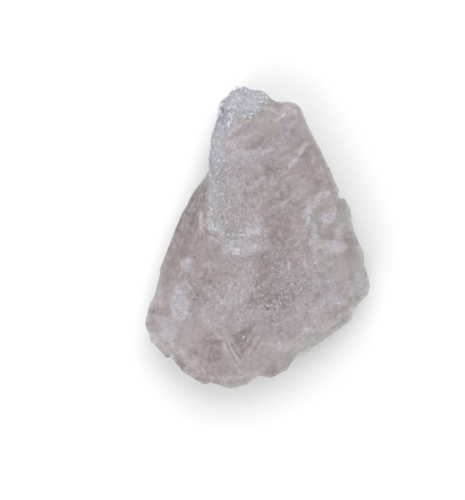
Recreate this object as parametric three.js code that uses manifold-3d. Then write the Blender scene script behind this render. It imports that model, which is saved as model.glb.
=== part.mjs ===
// A halite crystal: one cleaved slab of natural rock salt, lying on its flat underside.
//
// Rock salt splits along three planes at right angles, so the slab is bounded by flat cleavage
// faces and shallow square-cornered ledges, while its thinner rim is flaked into small scallops.
// Fine salt has grown on it, as a lumpy white cap on the narrow end with a rind below it, and as
// sugary grains on the face. Everything has grown together, so it is one solid.
//
// Millimetres. X runs across the slab, +Y towards its narrow end, +Z up from the face it rests on.

import * as THREE from "three";
import { mergeVertices } from "three/addons/utils/BufferGeometryUtils.js";
import Module from "manifold-3d";

const wasm = await Module();
wasm.setup();

// ---- driving dimensions ----

const FACE_HEIGHT = 17.8; // main face above the rest face, at the middle of the slab
const FACE_TILT = { x: -0.02, y: 0.025 }; // rise of the main face per mm along X and Y
const MIDDLE = { x: 0, y: -8 }; // every point of the outline can be seen from here
const CLEAVAGE = 32; // degrees from +X to the first set of cleavage traces; the second is square to it

// The slab seen from above, clockwise from the tip of the white cap.
const OUTLINE = [
  [-3.8, 47.9], [-2.2, 46.8], [1.0, 46.6], [2.9, 45.7], [4.2, 44.1], [5.8, 43.0], [10.6, 42.8],
  [13.4, 41.4], [16.0, 35.4], [20.2, 27.8], [23.0, 21.7], [25.9, 15.0], [25.6, 13.4], [26.2, 12.2],
  [27.8, 12.4], [29.8, 9.2], [29.8, 5.7], [31.7, 0.2], [33.9, -4.9], [33.9, -8.4], [35.5, -13.2],
  [35.8, -15.8], [35.2, -18.0], [30.4, -22.8], [29.9, -26.0], [26.6, -28.6], [20.2, -33.0],
  [14.1, -37.5], [12.5, -37.8], [10.6, -39.8], [9.3, -42.0], [4.5, -44.7], [0.0, -43.6],
  [-3.5, -46.8], [-8.3, -47.9], [-15.0, -46.0], [-17.0, -46.5], [-23.7, -42.6], [-27.2, -38.2],
  [-29.4, -37.7], [-33.9, -32.7], [-34.4, -30.5], [-35.8, -27.6], [-34.2, -20.9], [-32.6, -18.6],
  [-31.0, -11.9], [-31.0, -9.7], [-27.8, -1.4], [-24.6, 6.3], [-20.2, 14.6], [-17.3, 18.2],
  [-15.2, 21.7], [-15.5, 24.9], [-14.6, 29.7], [-14.9, 31.3], [-12.5, 38.0], [-11.6, 40.2],
  [-11.9, 42.6], [-9.9, 44.1], [-8.3, 46.2],
];

// Section through the unsplit rim: how far in from the outline its wall is, at each height.
const RIM_SECTION = [
  { inset: 3.6, height: 0.0 },
  { inset: 1.0, height: 2.4 },
  { inset: 0.0, height: 5.4 },
  { inset: 0.0, height: 9.0 },
  { inset: 0.1, height: 13.0 },
  { inset: 0.5, height: 16.5 },
  { inset: 2.0, height: 20.0 },
];
const WIDEST = 2; // the entry of RIM_SECTION that lies on the outline

// Cleavage faces and ledges split off the upper side. Each starts at a point of its upper edge, faces
// a direction (degrees from +X) and reaches as far as given to both sides of the point. It lies
// step mm below the main face there and falls by so many degrees; a negative fall runs back up.
const UPPER_SPLITS = [
  { name: "left flank", at: [-17.4, 7.0], facing: 162, reach: 34, step: 0, fall: 44 },
  { name: "left shoulder", at: [-12.0, 31.0], facing: 174, reach: 14, step: 0.1, fall: 26 },
  { name: "narrow end", at: [2.0, 41.0], facing: 82, reach: 18, step: 0, fall: 30 },
  { name: "right wall", at: [18.4, 27.4], facing: 26, reach: 15, step: 0, fall: 58 },
  { name: "right flank", at: [26.9, -2.0], facing: 12, reach: 24, step: 0, fall: 26 },
  { name: "right terrace", at: [16.2, 3.2], facing: -6, reach: 7, step: 0.45, fall: 4 },
  { name: "right corner", at: [24.2, -27.6], facing: -47, reach: 19, step: 0.2, fall: 32 },
  { name: "broad end", at: [4.4, -41.2], facing: -74, reach: 19, step: 0.1, fall: 34 },
  { name: "broad end, left", at: [-16.2, -43.0], facing: -108, reach: 13, step: 0, fall: 36 },
  { name: "left corner", at: [-28.4, -31.8], facing: 226, reach: 17, step: 0, fall: 32 },
  { name: "left foot", at: [-30.0, -21.0], facing: 178, reach: 9, step: 0.2, fall: 34 },
  { name: "upper ledge", at: [11.6, 24.6], facing: CLEAVAGE - 90, reach: 7.5, step: 0.4, fall: -1.6 },
  { name: "middle ledge", at: [6.5, 12.2], facing: CLEAVAGE - 90, reach: 9, step: 0.35, fall: -1.2 },
  { name: "cap ledge", at: [-5.0, 33.4], facing: CLEAVAGE - 90, reach: 6, step: 0.35, fall: -2 },
  { name: "low ledge", at: [11.6, -1.8], facing: CLEAVAGE - 90, reach: 4.5, step: 0.35, fall: -2.5 },
  { name: "clear window", at: [-15.6, -31.0], facing: CLEAVAGE - 90, reach: 4.5, step: 0.6, fall: -4 },
  { name: "second window", at: [-3.6, -29.0], facing: CLEAVAGE - 90, reach: 4, step: 0.3, fall: -3 },
  { name: "cross ledge", at: [-21.4, -15.4], facing: CLEAVAGE + 180, reach: 5.5, step: 0.35, fall: -2.4 },
];

// The same on the underside, where step and fall are measured up from the rest face.
const LOWER_SPLITS = [
  { name: "under narrow end", at: [0.0, 22.0], facing: 98, reach: 24, step: 0.9, fall: 9 },
  { name: "under right wall", at: [14.5, 12.0], facing: 24, reach: 22, step: 0.0, fall: 24 },
  { name: "under right", at: [19.0, -8.0], facing: 8, reach: 20, step: 0.8, fall: 17 },
  { name: "under right corner", at: [14.0, -21.0], facing: -47, reach: 22, step: 0.0, fall: 17 },
  { name: "under broad end", at: [-5.0, -31.0], facing: -88, reach: 20, step: 1.0, fall: 15 },
  { name: "under left corner", at: [-19.0, -23.0], facing: 226, reach: 20, step: 0.0, fall: 18 },
  { name: "under left", at: [-16.5, 0.0], facing: 162, reach: 30, step: 0.7, fall: 22 },
];

// Flakes off the rim: every side of the outline over the least length has lost one above and one
// below. Each starts so far in from its side, is turned from it by up to half the turn, and falls
// away at an angle between the two given; the lower ones start at the height of the foot.
const FLAKES = { least: 3.0, inset: [1.0, 2.4], fall: [42, 60], foot: 1.8, overlap: 1.1, turn: 16 };

// Narrow splits on the upper side, square to the first traces: a run of parallel grooves.
const GROOVES = { first: [-12.2, -29.2], last: [-8.4, -30.6], count: 3, long: 12, wide: 0.7, deep: 0.35 };

// Places where small salt grains have grown. Each is an ellipse turned by turn degrees; share is
// how much of each grain stands proud, and lean the most that a grain is turned out of square.
const GROWTHS = [
  { name: "white cap", form: "lump", at: [-4.4, 42.6], spread: [7.6, 3.6], turn: -4, count: 44,
    size: [1.6, 3.4], share: 0.42, lean: 180 },
  { name: "cap fringe", form: "lump", at: [-10.2, 41.8], spread: [1.0, 2.8], turn: -38, count: 12,
    size: [0.9, 1.7], share: 0.4, lean: 180 },
  { name: "shoulder rind", form: "lump", at: [-13.1, 28.4], spread: [0.9, 8.6], turn: 5, count: 26,
    size: [1.2, 2.4], share: 0.3, lean: 180 },
  { name: "sugary patch", form: "cube", at: [-8.2, 8.4], spread: [4.8, 11.6], turn: 12, count: 46,
    size: [1.2, 2.6], share: 0.18, lean: 22 },
  { name: "patch foot", form: "lump", at: [-4.6, -2.4], spread: [5.2, 2.6], turn: 14, count: 14,
    size: [1.8, 3.2], share: 0.16, lean: 180 },
  { name: "broad end grain", form: "cube", at: [4.0, -20.5], spread: [13.0, 7.0], turn: 16, count: 40,
    size: [1.2, 2.6], share: 0.14, lean: 16 },
];

// A rounded grain: its radius and height as shares of its size, and how far it is drawn out by chance.
const LUMP = { radius: 0.6, flat: 0.8, drawn: [0.7, 1.2] };

const LOWEST_SEAT = 9; // no grain grows where the upper side is lower than this

const CUTTER = 60; // long enough to clear the slab from any split
const WELD = 1e-4; // points closer than this are one

// ---- helpers ----

const radians = THREE.MathUtils.degToRad;
const lerp = THREE.MathUtils.lerp;

// A repeatable number from 0 to 1 for a pair of whole numbers.
function chance(a, b) {
  const s = Math.sin(a * 127.1 + b * 311.7) * 43758.5453;
  return s - Math.floor(s);
}

// A closed three.js geometry as a manifold-3d solid.
function solid(geometry) {
  const bare = geometry.clone();
  bare.deleteAttribute("normal");
  bare.deleteAttribute("uv");
  const merged = mergeVertices(bare, WELD);
  return new wasm.Manifold(
    new wasm.Mesh({
      numProp: 3,
      vertProperties: merged.attributes.position.array,
      triVerts: new Uint32Array(merged.index.array),
    }),
  );
}

// A manifold-3d solid as a three.js geometry.
function geometryOf(manifold) {
  const mesh = manifold.getMesh();
  const geometry = new THREE.BufferGeometry();
  geometry.setAttribute("position", new THREE.BufferAttribute(mesh.vertProperties, 3));
  geometry.setIndex(new THREE.BufferAttribute(mesh.triVerts, 1));
  geometry.computeVertexNormals();
  return geometry;
}

// ---- the upper side as heights, used to start flakes and seat grains ----

const mainFace = (x, y) => FACE_HEIGHT + FACE_TILT.x * x + FACE_TILT.y * y;

// Radius of the outline seen from MIDDLE, where the ray at this angle crosses one of its sides.
function outlineRadius(angle) {
  const ray = [Math.cos(angle), Math.sin(angle)];
  for (let i = 0; i < OUTLINE.length; i++) {
    const [ax, ay] = OUTLINE[i];
    const [bx, by] = OUTLINE[(i + 1) % OUTLINE.length];
    const a = [ax - MIDDLE.x, ay - MIDDLE.y];
    const side = [bx - ax, by - ay];
    const cross = ray[0] * side[1] - ray[1] * side[0];
    const radius = (a[0] * side[1] - a[1] * side[0]) / cross;
    const along = (a[0] * ray[1] - a[1] * ray[0]) / cross;
    if (radius > 0 && along >= 0 && along < 1) return radius;
  }
  throw new Error("the outline does not close round MIDDLE");
}

// Height of the rim's wall above its widest line, at this distance in from the outline.
function wallHeight(inset) {
  const wall = RIM_SECTION.slice(WIDEST);
  for (let i = 1; i < wall.length; i++) {
    if (inset >= wall[i].inset) continue;
    const share = (inset - wall[i - 1].inset) / (wall[i].inset - wall[i - 1].inset);
    return lerp(wall[i - 1].height, wall[i].height, share);
  }
  return Infinity;
}

// The lowest of the rim's wall, the main face and every large split.
function upperHeight(x, y) {
  const angle = Math.atan2(y - MIDDLE.y, x - MIDDLE.x);
  const inset = outlineRadius(angle) - Math.hypot(x - MIDDLE.x, y - MIDDLE.y);
  let height = Math.min(mainFace(x, y), wallHeight(inset));
  for (const { at, facing, reach, step, fall } of UPPER_SPLITS) {
    const out = [Math.cos(radians(facing)), Math.sin(radians(facing))];
    const along = (x - at[0]) * out[0] + (y - at[1]) * out[1];
    const across = (y - at[1]) * out[0] - (x - at[0]) * out[1];
    if (along < 0 || Math.abs(across) > reach) continue;
    height = Math.min(height, mainFace(...at) - step - along * Math.tan(radians(fall)));
  }
  return height;
}

// ---- pieces of the build ----

// The slab before it is split: the rim's section carried round the outline, closed by flat fans.
function blankSlab() {
  const points = [];
  const faces = [];
  const sides = OUTLINE.length;
  for (const { inset, height } of RIM_SECTION) {
    for (const [x, y] of OUTLINE) {
      const angle = Math.atan2(y - MIDDLE.y, x - MIDDLE.x);
      const radius = Math.hypot(x - MIDDLE.x, y - MIDDLE.y) - inset;
      points.push(MIDDLE.x + radius * Math.cos(angle), MIDDLE.y + radius * Math.sin(angle), height);
    }
  }
  const underside = points.length / 3;
  const top = underside + 1;
  points.push(MIDDLE.x, MIDDLE.y, RIM_SECTION[0].height);
  points.push(MIDDLE.x, MIDDLE.y, RIM_SECTION.at(-1).height);
  const last = (RIM_SECTION.length - 1) * sides;
  for (let i = 0; i < sides; i++) {
    const next = (i + 1) % sides;
    faces.push(underside, i, next);
    faces.push(top, last + next, last + i);
    for (let low = 0; low < last; low += sides) {
      const high = low + sides;
      faces.push(low + i, high + i, low + next, low + next, high + i, high + next);
    }
  }
  const geometry = new THREE.BufferGeometry();
  geometry.setAttribute("position", new THREE.Float32BufferAttribute(points, 3));
  geometry.setIndex(faces);
  return geometry;
}

// A block that takes away all above a face through the point; its near wall is square to the face.
function cutterAbove([x, y], height, facing, reach, fall) {
  return new THREE.BoxGeometry(CUTTER, 2 * reach, CUTTER)
    .translate(CUTTER / 2, 0, CUTTER / 2)
    .rotateY(radians(fall))
    .rotateZ(radians(facing))
    .translate(x, y, height);
}

// The same for a face of the underside, which rises by the angle instead of falling.
function cutterBelow([x, y], height, facing, reach, fall) {
  return new THREE.BoxGeometry(CUTTER, 2 * reach, CUTTER)
    .translate(CUTTER / 2, 0, -CUTTER / 2)
    .rotateY(-radians(fall))
    .rotateZ(radians(facing))
    .translate(x, y, height);
}

// The block above the main face, tilted with it.
function faceCutter() {
  const up = new THREE.Vector3(-FACE_TILT.x, -FACE_TILT.y, 1).normalize();
  const turn = new THREE.Quaternion().setFromUnitVectors(new THREE.Vector3(0, 0, 1), up);
  return new THREE.BoxGeometry(3 * CUTTER, 3 * CUTTER, CUTTER)
    .translate(0, 0, CUTTER / 2)
    .applyQuaternion(turn)
    .translate(0, 0, FACE_HEIGHT);
}

// Two cutters for each long side of the outline, one above the rim and one below it.
function flakeCutters({ least, inset, fall, foot, overlap, turn }) {
  const cutters = [];
  OUTLINE.forEach(([ax, ay], i) => {
    const [bx, by] = OUTLINE[(i + 1) % OUTLINE.length];
    const side = Math.hypot(bx - ax, by - ay);
    if (side < least) return;
    const out = [-(by - ay) / side, (bx - ax) / side];
    const facing = THREE.MathUtils.radToDeg(Math.atan2(out[1], out[0])) + turn * (chance(i, 1) - 0.5);
    const reach = side / 2 + overlap;
    const start = (k) => {
      const back = lerp(...inset, chance(i, k));
      return [(ax + bx) / 2 - out[0] * back, (ay + by) / 2 - out[1] * back];
    };
    const upper = start(2);
    cutters.push(cutterAbove(upper, upperHeight(...upper), facing, reach, lerp(...fall, chance(i, 3))));
    cutters.push(cutterBelow(start(4), foot, facing, reach, lerp(...fall, chance(i, 5))));
  });
  return cutters;
}

// Thin square-cut blocks, one for each parallel groove.
function grooveCutters({ first, last, count, long, wide, deep }) {
  return Array.from({ length: count }, (_, i) => {
    const share = i / (count - 1);
    const x = lerp(first[0], last[0], share);
    const y = lerp(first[1], last[1], share);
    return new THREE.BoxGeometry(long, wide, 2 * deep)
      .translate(long / 2, 0, 0)
      .rotateZ(radians(CLEAVAGE - 90))
      .translate(x, y, upperHeight(x, y));
  });
}

// One grain about its own middle: a cube, or a rounded lump drawn out by the share given.
function grainOf(form, side, drawn) {
  if (form === "cube") return new THREE.BoxGeometry(side, side, side);
  const lump = new THREE.DodecahedronGeometry(LUMP.radius * side);
  return lump.scale(1, lerp(...LUMP.drawn, drawn), LUMP.flat);
}

// The grains of one growth, each sunk into the surface under it.
function growthGrains({ form, at, spread, turn, count, size, share, lean }, order) {
  const grains = [];
  for (let i = 1; i <= count; i++) {
    const pick = (k) => chance(i, 10 * order + k);
    const round = 2 * Math.PI * pick(1);
    const out = Math.sqrt(pick(2));
    const place = new THREE.Vector2(spread[0] * out * Math.cos(round), spread[1] * out * Math.sin(round));
    place.rotateAround(new THREE.Vector2(0, 0), radians(turn));
    const x = at[0] + place.x;
    const y = at[1] + place.y;
    const seat = upperHeight(x, y);
    if (!(seat > LOWEST_SEAT)) continue;
    const side = lerp(size[0], size[1], pick(3) ** 2);
    const grain = grainOf(form, side, pick(7))
      .rotateX(radians(lean * (pick(4) - 0.5)))
      .rotateY(radians(lean * (pick(5) - 0.5)))
      .rotateZ(radians(CLEAVAGE + lean * (pick(6) - 0.5)))
      .translate(x, y, seat + side * (share - 0.5));
    grains.push(grain);
  }
  return grains;
}

// ---- the crystal ----

const halite = new THREE.MeshStandardMaterial({
  name: "halite",
  color: new THREE.Color().setRGB(0.69, 0.66, 0.65, THREE.SRGBColorSpace),
  roughness: 0.35,
  metalness: 0,
  transparent: true,
  opacity: 0.85,
});

const cutters = [
  faceCutter(),
  ...UPPER_SPLITS.map((s) => cutterAbove(s.at, mainFace(...s.at) - s.step, s.facing, s.reach, s.fall)),
  ...LOWER_SPLITS.map((s) => cutterBelow(s.at, s.step, s.facing, s.reach, s.fall)),
  ...flakeCutters(FLAKES),
  ...grooveCutters(GROOVES),
];
let body = solid(blankSlab());
for (const cutter of cutters) body = body.subtract(solid(cutter));
GROWTHS.forEach((growth, order) => {
  for (const grain of growthGrains(growth, order)) body = body.add(solid(grain));
});

// Growing grains can shut in a bubble or miss the slab, so only the slab's outer skin is kept.
const outerSkin = body.decompose().reduce((a, b) => (b.volume() > a.volume() ? b : a));

const crystal = new THREE.Mesh(geometryOf(outerSkin), halite);
crystal.name = "halite_crystal";

const specimen = new THREE.Group();
specimen.add(crystal);

export default specimen;
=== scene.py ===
# %% [markdown]
# # A halite crystal
#
# Halite is natural rock salt. It splits along three flat planes at right angles, so a broken piece is
# a slab with flat faces, shallow square-cornered steps and a flaked rim. This one is milky: light
# goes into it and comes back soft and pale grey. A white crust of fine salt covers its narrow end.
#
# The lesson builds it in steps: the place it lies in, the noise that nature is imitated with, the
# shape, the marks on and under its face, the finish, and the loose-looking grains grown on it.

import bpy
import numpy as np
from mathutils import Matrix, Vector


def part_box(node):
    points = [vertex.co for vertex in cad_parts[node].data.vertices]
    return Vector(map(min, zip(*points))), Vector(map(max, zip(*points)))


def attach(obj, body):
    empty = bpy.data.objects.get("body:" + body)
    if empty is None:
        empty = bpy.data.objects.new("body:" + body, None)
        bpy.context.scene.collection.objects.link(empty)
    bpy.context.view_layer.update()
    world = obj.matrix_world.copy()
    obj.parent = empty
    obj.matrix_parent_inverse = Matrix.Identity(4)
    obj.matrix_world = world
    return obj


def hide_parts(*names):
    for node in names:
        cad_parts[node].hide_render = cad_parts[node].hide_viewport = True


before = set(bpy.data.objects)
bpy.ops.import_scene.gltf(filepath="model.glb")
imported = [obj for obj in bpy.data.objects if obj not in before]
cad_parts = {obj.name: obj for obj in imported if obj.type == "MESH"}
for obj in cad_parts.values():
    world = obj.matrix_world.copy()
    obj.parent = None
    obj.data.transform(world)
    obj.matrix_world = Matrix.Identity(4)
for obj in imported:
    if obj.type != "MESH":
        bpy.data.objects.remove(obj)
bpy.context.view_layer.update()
low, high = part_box("halite_crystal")
print("box of the crystal, mm:", [round(1000 * (b - a), 1) for a, b in zip(low, high)])

# %% [markdown]
# ## The camera
#
# The crystal lies flat and is looked at from straight above, so the camera hangs over it and points
# down. A long lens far away keeps the crystal's walls out of sight. The camera sits a little to the
# left of the crystal, because the crystal lies right of the middle of the picture.

# %% Camera
MM = 0.001
IMAGE = (465, 500)  # pixels across and down
PIXELS_PER_MM = 3.125
PICTURE_CENTRE = (-7.84, -3.92)  # the point of the crystal's own plan in the middle of the picture, mm
WIDEST_HEIGHT = 9.0  # height of the crystal's widest line, mm
LENS = 100.0  # focal length, mm

camera_data = bpy.data.cameras.new("camera")
camera_data.lens = LENS
camera_data.clip_start = 0.01
camera = bpy.data.objects.new("camera", camera_data)
bpy.context.scene.collection.objects.link(camera)
bpy.context.scene.camera = camera
picture_length = max(IMAGE) / PIXELS_PER_MM
distance = picture_length * LENS / camera_data.sensor_width + WIDEST_HEIGHT
camera.location = (PICTURE_CENTRE[0] * MM, PICTURE_CENTRE[1] * MM, distance * MM)
print("camera height, mm:", round(distance))

# %% [markdown]
# ## The floor and the light
#
# A plain pale floor shows a pale crystal best when the light is even. Most of it comes from the
# world, as in a white tent. One large soft lamp beyond the narrow end gives the steps a light side
# and a shaded side, and a weaker one at the left of the broad end keeps that shade open.

# %% Floor and light
FLOOR_SIDE = 3.0
FLOOR_COLOUR = (0.83, 0.83, 0.83, 1.0)
FLOOR_ROUGHNESS = 0.6
WORLD_COLOUR = (1.0, 1.0, 1.0, 1.0)
WORLD_STRENGTH = 0.68
# name: place and side in metres, power in watts
LAMPS = {
    "key lamp": ((0.05, 0.50, 0.62), 0.8, 4.5),
    "fill lamp": ((-0.32, -0.42, 0.46), 0.6, 2.2),
}


def new_material(name):
    """A new material, its node tree and the inputs of its shader."""
    material = bpy.data.materials.new(name)
    material.use_nodes = True
    tree = material.node_tree
    return material, tree, tree.nodes["Principled BSDF"].inputs


def lamp(name, place, side, power):
    """A square soft lamp that shines from its place towards the crystal."""
    data = bpy.data.lights.new(name, "AREA")
    data.size = side
    data.energy = power
    thing = bpy.data.objects.new(name, data)
    bpy.context.scene.collection.objects.link(thing)
    thing.location = place
    thing.rotation_euler = thing.location.to_track_quat("Z", "Y").to_euler()


half = FLOOR_SIDE / 2
corners = [(-half, -half, 0), (half, -half, 0), (half, half, 0), (-half, half, 0)]
floor_mesh = bpy.data.meshes.new("floor")
floor_mesh.from_pydata(corners, [], [(0, 1, 2, 3)])
floor = bpy.data.objects.new("floor", floor_mesh)
bpy.context.scene.collection.objects.link(floor)
floor_material, _, shader = new_material("floor")
shader["Base Color"].default_value = FLOOR_COLOUR
shader["Roughness"].default_value = FLOOR_ROUGHNESS
floor_mesh.materials.append(floor_material)

world = bpy.data.worlds.new("world")
world.use_nodes = True
background = world.node_tree.nodes["Background"].inputs
background["Color"].default_value = WORLD_COLOUR
background["Strength"].default_value = WORLD_STRENGTH
bpy.context.scene.world = world
for name, values in LAMPS.items():
    lamp(name, *values)
bpy.context.scene.view_settings.view_transform = "Standard"

# %% [markdown]
# ## Noise for whole arrays
#
# Broken salt looks irregular, but the script must give the same crystal each time. So its chances
# come from a formula: the fraction left of a large sine. Two kinds of noise are made from it. Soft
# noise rolls gently, for veils and waviness. Cell noise gives each point the nearest of many
# scattered seeds, for grains: with square cells, those of a cubic mineral.

# %% Noise
CLEAVAGE = np.radians(32.0)  # from +X to the first set of cleavage traces; the second is square to it
FLANK = np.radians(64.0)  # from +X to the fine grooves along the left flank


def hashed(i, j, seed):
    """A repeatable number from 0 to 1 for each pair of whole numbers: the fraction of a large sine."""
    wave = np.sin(i * 127.1 + j * 311.7 + seed * 74.7) * 43758.5453
    return wave - np.floor(wave)


def smooth(low, high, value):
    """0 below low, 1 above high, and an S-shaped rise between them; low above high makes it fall."""
    share = np.clip((value - low) / (high - low), 0.0, 1.0)
    return share * share * (3.0 - 2.0 * share)


def mix(a, b, share):
    """a where share is 0, b where it is 1."""
    return a + (b - a) * share


def soft_noise(x, y, size, seed):
    """From -1 to 1: random values at the corners of squares of the size, blended across each square."""
    u, v = x / size, y / size
    i, j = np.floor(u), np.floor(v)
    across, along = smooth(0, 1, u - i), smooth(0, 1, v - j)
    lower = mix(hashed(i, j, seed), hashed(i + 1, j, seed), across)
    upper = mix(hashed(i, j + 1, seed), hashed(i + 1, j + 1, seed), across)
    return 2.0 * mix(lower, upper, along) - 1.0


def layered_noise(x, y, size, seed):
    """Soft noise at the size, at half and at a quarter of it, each half as strong as the one before."""
    shares = [1.0, 0.5, 0.25]
    total = sum(share * soft_noise(x, y, size * share, seed + 17 * k) for k, share in enumerate(shares))
    return total / sum(shares)


def turned(x, y, angle):
    """The same points measured along axes turned by the angle."""
    return x * np.cos(angle) + y * np.sin(angle), y * np.cos(angle) - x * np.sin(angle)


def cells(x, y, size, seed, square):
    """For each point: the way to the nearest seed, across and along, and that seed's number.

    There is one seed at a random place in each square of the size. Square cells measure distance by
    the longer of its two parts, round ones by its whole length.
    """
    u, v = x / size, y / size
    nearest = np.full(np.shape(u), 9.0)
    across, along, key = (np.zeros(np.shape(u)) for _ in range(3))
    for step_i in (-1, 0, 1):
        for step_j in (-1, 0, 1):
            i, j = np.floor(u) + step_i, np.floor(v) + step_j
            du = u - i - 0.15 - 0.7 * hashed(i, j, seed)
            dv = v - j - 0.15 - 0.7 * hashed(i, j, seed + 1)
            far = np.maximum(abs(du), abs(dv)) if square else np.hypot(du, dv)
            closer = far < nearest
            across, along = np.where(closer, du, across), np.where(closer, dv, along)
            key = np.where(closer, hashed(i, j, seed + 2), key)
            nearest = np.where(closer, far, nearest)
    return across * size, along * size, key


def facets(x, y, size, seed, square, tilt):
    """Heights of a surface of small flat facets: each cell is a plane with its own level and tilt."""
    across, along, key = cells(x, y, size, seed, square)
    level = 0.5 * (key - 0.5) * size
    falls = [hashed(key * 911, 1, seed) - 0.5, hashed(key * 577, 2, seed) - 0.5]
    return level + tilt * (across * falls[0] + along * falls[1])


print("first random numbers:", [round(float(hashed(i, 0, 1)), 3) for i in range(4)])

# %% [markdown]
# ## The outline
#
# Seen from above, the slab is a rough triangle with its white cap on the narrow end. Its outline is
# a ring of listed points, in mm. All of it can be seen from one point near the middle, so it
# can also be written as a radius for each angle, and the whole slab can be made on round rings.

# %% Outline
MIDDLE = (0.0, -8.0)
PLAN = (72.0, 96.0)  # width and length of the crystal, mm
OUTLINE = np.array([
    (-3.8, 47.9), (-2.2, 46.8), (1.0, 46.6), (2.9, 45.7), (4.2, 44.1), (5.8, 43.0), (10.6, 42.8),
    (13.4, 41.4), (16.0, 35.4), (20.2, 27.8), (23.0, 21.7), (25.9, 15.0), (25.6, 13.4), (26.2, 12.2),
    (27.8, 12.4), (29.8, 9.2), (29.8, 5.7), (31.7, 0.2), (33.9, -4.9), (33.9, -8.4), (35.5, -13.2),
    (35.8, -15.8), (35.2, -18.0), (30.4, -22.8), (29.9, -26.0), (26.6, -28.6), (20.2, -33.0),
    (14.1, -37.5), (12.5, -37.8), (10.6, -39.8), (9.3, -42.0), (4.5, -44.7), (0.0, -43.6),
    (-3.5, -46.8), (-8.3, -47.9), (-15.0, -46.0), (-17.0, -46.5), (-23.7, -42.6), (-27.2, -38.2),
    (-29.4, -37.7), (-33.9, -32.7), (-34.4, -30.5), (-35.8, -27.6), (-34.2, -20.9), (-32.6, -18.6),
    (-31.0, -11.9), (-31.0, -9.7), (-27.8, -1.4), (-24.6, 6.3), (-20.2, 14.6), (-17.3, 18.2),
    (-15.2, 21.7), (-15.5, 24.9), (-14.6, 29.7), (-14.9, 31.3), (-12.5, 38.0), (-11.6, 40.2),
    (-11.9, 42.6), (-9.9, 44.1), (-8.3, 46.2),
])


def outline_radius(angle):
    """Distance from MIDDLE to the outline in each direction: where that ray crosses the outline's side."""
    points = OUTLINE - MIDDLE
    corners = np.arctan2(points[:, 1], points[:, 0])
    order = np.argsort(corners)
    points, corners = points[order], corners[order]
    i = np.searchsorted(corners, angle) % len(points)
    a, b = points[i - 1], points[i]
    side = b - a
    return (a[..., 0] * side[..., 1] - a[..., 1] * side[..., 0]) / (
        np.cos(angle) * side[..., 1] - np.sin(angle) * side[..., 0]
    )


def rim_inset(x, y):
    """How far in from the outline each point is, along its ray from MIDDLE."""
    x, y = x - MIDDLE[0], y - MIDDLE[1]
    return outline_radius(np.arctan2(y, x)) - np.hypot(x, y)


angles = np.radians([0, 90, 180, 270])
print("radius to the right, the tip, the left and the broad end, mm:", outline_radius(angles).round(1))

# %% [markdown]
# ## The big faces
#
# The main face is one cleavage plane, tilted by a degree or so. Other planes cut it off towards the
# rim, and shallow ledges step down from it along the cleavage directions. Each is a plane with an
# edge, a facing and a fall, so the slab's height at a point is simply the lowest of them all.

# %% Main face, walls and ledges
FACE_HEIGHT = 17.8
FACE_TILT = (-0.02, 0.025)
WALL_INSETS = (0.0, 0.0, 0.1, 0.5, 2.0)  # how far in from the outline the upper wall is ...
WALL_HEIGHTS = (5.4, 9.0, 13.0, 16.5, 20.0)  # ... at each of these heights
CREST_INSET = 0.8  # nearer to the outline than this, the wall no longer holds the top down
FOOT_INSETS = (0.0, 1.0, 3.6)  # the same for the lower wall
FOOT_HEIGHTS = (5.4, 2.4, 0.0)

# edge point, facing in degrees from +X, reach to both sides, step down, fall in degrees
WALLS = {
    "left flank": ((-17.4, 7.0), 162, 34, 0.0, 44),
    "left shoulder": ((-12.0, 31.0), 174, 14, 0.1, 26),
    "narrow end": ((2.0, 41.0), 82, 18, 0.0, 30),
    "right wall": ((18.4, 27.4), 26, 15, 0.0, 58),
    "right flank": ((26.9, -2.0), 12, 24, 0.0, 26),
    "right corner": ((24.2, -27.6), -47, 19, 0.2, 32),
    "broad end": ((4.4, -41.2), -74, 19, 0.1, 34),
    "broad end, left": ((-16.2, -43.0), -108, 13, 0.0, 36),
    "left corner": ((-28.4, -31.8), 226, 17, 0.0, 32),
    "left foot": ((-30.0, -21.0), 178, 9, 0.2, 34),
}
LEDGES = {
    "right terrace": ((16.2, 3.2), -6, 7.0, 0.45, 4),
    "upper ledge": ((11.6, 24.6), -58, 7.5, 0.35, -1.6),
    "middle ledge": ((6.5, 12.2), -58, 9, 0.3, -1.2),
    "cap ledge": ((-5.0, 33.4), -58, 6, 0.3, -2),
    "low ledge": ((11.6, -1.8), -58, 4.5, 0.3, -2.5),
    "clear window": ((-15.6, -31.0), -58, 4.5, 0.6, -4),
    "second window": ((-3.6, -29.0), -58, 4, 0.3, -3.0),
    "cross ledge": ((-21.4, -15.4), 212, 5.5, 0.35, -2.4),
}
LOWER_SPLITS = {
    "under narrow end": ((0.0, 22.0), 98, 24, 0.9, 9),
    "under right wall": ((14.5, 12.0), 24, 22, 0.0, 24),
    "under right": ((19.0, -8.0), 8, 20, 0.8, 17),
    "under right corner": ((14.0, -21.0), -47, 22, 0.0, 17),
    "under broad end": ((-5.0, -31.0), -88, 20, 1.0, 15),
    "under left corner": ((-19.0, -23.0), 226, 20, 0.0, 18),
    "under left": ((-16.5, 0.0), 162, 30, 0.7, 22),
}
LEDGE_FADE = (4.0, 0.7)  # the ends of a ledge die out over these mm, or this share of its reach if less
WALL_FADE = 0.5  # mm over which those of the walls and of the splits below do
SPLIT_EDGES = (0.12, 0.2)  # mm by which the edge of a split and its ends are rounded
CREASE_WARPS = ((7.0, 0.8), (2.6, 0.45))  # noise that breaks the edges of the walls: size, and reach in mm
LEDGE_WARPS = ((5.0, 0.35), (1.4, 0.2))  # the same for the ledges, which stay straighter


def warped(x, y, layers, seed):
    """The points moved about by layers of soft noise, each given as its size and its reach in mm."""
    for layer, (size, far) in enumerate(layers):
        moves = [far * soft_noise(x + shift, y, size, seed + layer) for shift in (0.0, 31.0)]
        x, y = x + moves[0], y + moves[1]
    return x, y


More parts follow.
